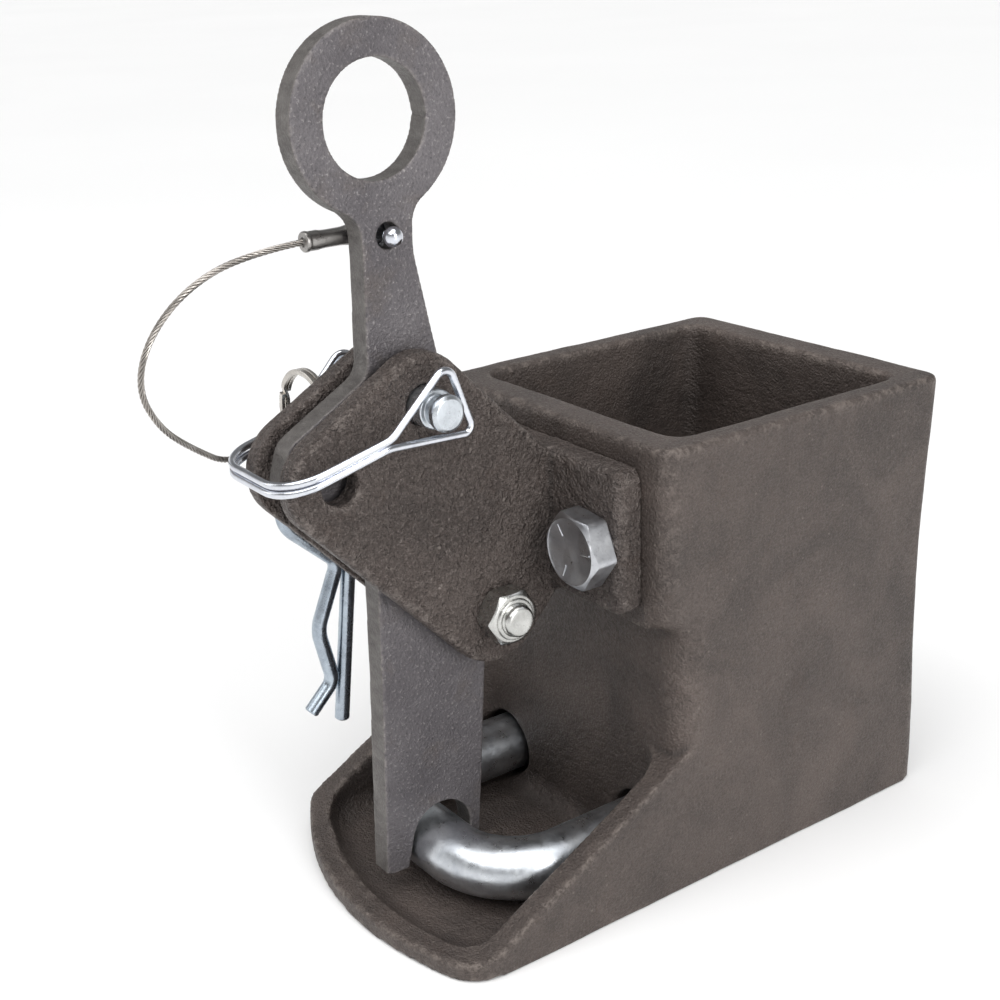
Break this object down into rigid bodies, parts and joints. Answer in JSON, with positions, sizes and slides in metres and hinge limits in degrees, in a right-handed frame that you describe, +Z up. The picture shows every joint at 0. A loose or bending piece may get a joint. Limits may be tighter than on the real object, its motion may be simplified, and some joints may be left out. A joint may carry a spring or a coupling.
{
  "type": "gooseneck trailer coupler",
  "caption": "Cast gooseneck trailer coupler with a square tube socket, a front scoop, a pull-ring handle in a bolted bracket and a sliding U-shaped yoke that locks under a hitch ball.",
  "frame": {"origin": "on the hitch ball's axis at the coupler's flat underside", "axes": "+Z up along the socket, -Y towards the scoop and handle, +X to the coupler's right seen from the front of the handle"},
  "size_m": [0.1224, 0.2668, 0.2912],
  "materials": {
    "cast_body": "raw casting",
    "cast_bracket": "coarse sand casting",
    "handle_steel": "thin grey coat on plate",
    "zinc_steel": "zinc plated",
    "zinc_bolt": "zinc plated",
    "zinc_nut": "zinc plated",
    "bright_wire": "bright plated",
    "nickel": "nickel plated",
    "cable_steel": "twisted stainless strands",
    "sleeve_steel": "swaged",
    "bushing_steel": "turned",
    "washer_bronze": "turned bronze"
  },
  "bodies": {
    "housing": {"coupler_housing": "cast_body", "handle_bracket": "cast_bracket", "bracket_bolt_left": "zinc_bolt", "bracket_bolt_right": "zinc_bolt", "pivot_bolt": "zinc_nut", "pivot_nut": "zinc_nut", "pivot_bushing": "bushing_steel", "thrust_washer_left": "washer_bronze", "thrust_washer_right": "washer_bronze", "lanyard_cable": "cable_steel", "lanyard_ferrule": "sleeve_steel", "lanyard_eye": "cable_steel"},
    "handle": {"release_handle": "handle_steel", "lanyard_ball_stud": "bright_wire", "lanyard_sleeve": "sleeve_steel"},
    "yoke": {"locking_yoke": "zinc_steel"},
    "lock_pin": {"lock_pin": "zinc_steel", "lock_pin_wire": "bright_wire"},
    "split_ring": {"split_ring": "nickel"},
    "hairpin": {"hairpin_clip": "zinc_steel"}
  },
  "joints": [
    {"name": "handle_swing", "type": "hinge", "parent": "housing", "child": "handle", "pos_m": [0, -0.097, 0.102], "axis": [1, 0, 0], "range_deg": [0, 26.3], "deforming": ["lanyard_cable"]},
    {"name": "yoke_slide", "type": "slide", "parent": "housing", "child": "yoke", "axis": [0, 1, 0], "range_m": [0, 0.0408]},
    {"name": "lock_pin_turn", "type": "hinge", "parent": "housing", "child": "lock_pin", "pos_m": [0, -0.1222, 0.1783], "axis": [1, 0, 0], "range_deg": [-2, 2.5]},
    {"name": "split_ring_swing", "type": "hinge", "parent": "lock_pin", "child": "split_ring", "pos_m": [-0.0314, -0.1378, 0.1812], "axis": [1, 0, 0], "range_deg": [-2, 2.5]},
    {"name": "hairpin_swing", "type": "hinge", "parent": "split_ring", "child": "hairpin", "pos_m": [-0.031, -0.1378, 0.1533], "axis": [1, 0, 0], "range_deg": [-15, 15]}
  ],
  "couplings": [
    {"joint": "yoke_slide", "follows": "handle_swing", "m_per_rad": 0.08856}
  ]
}
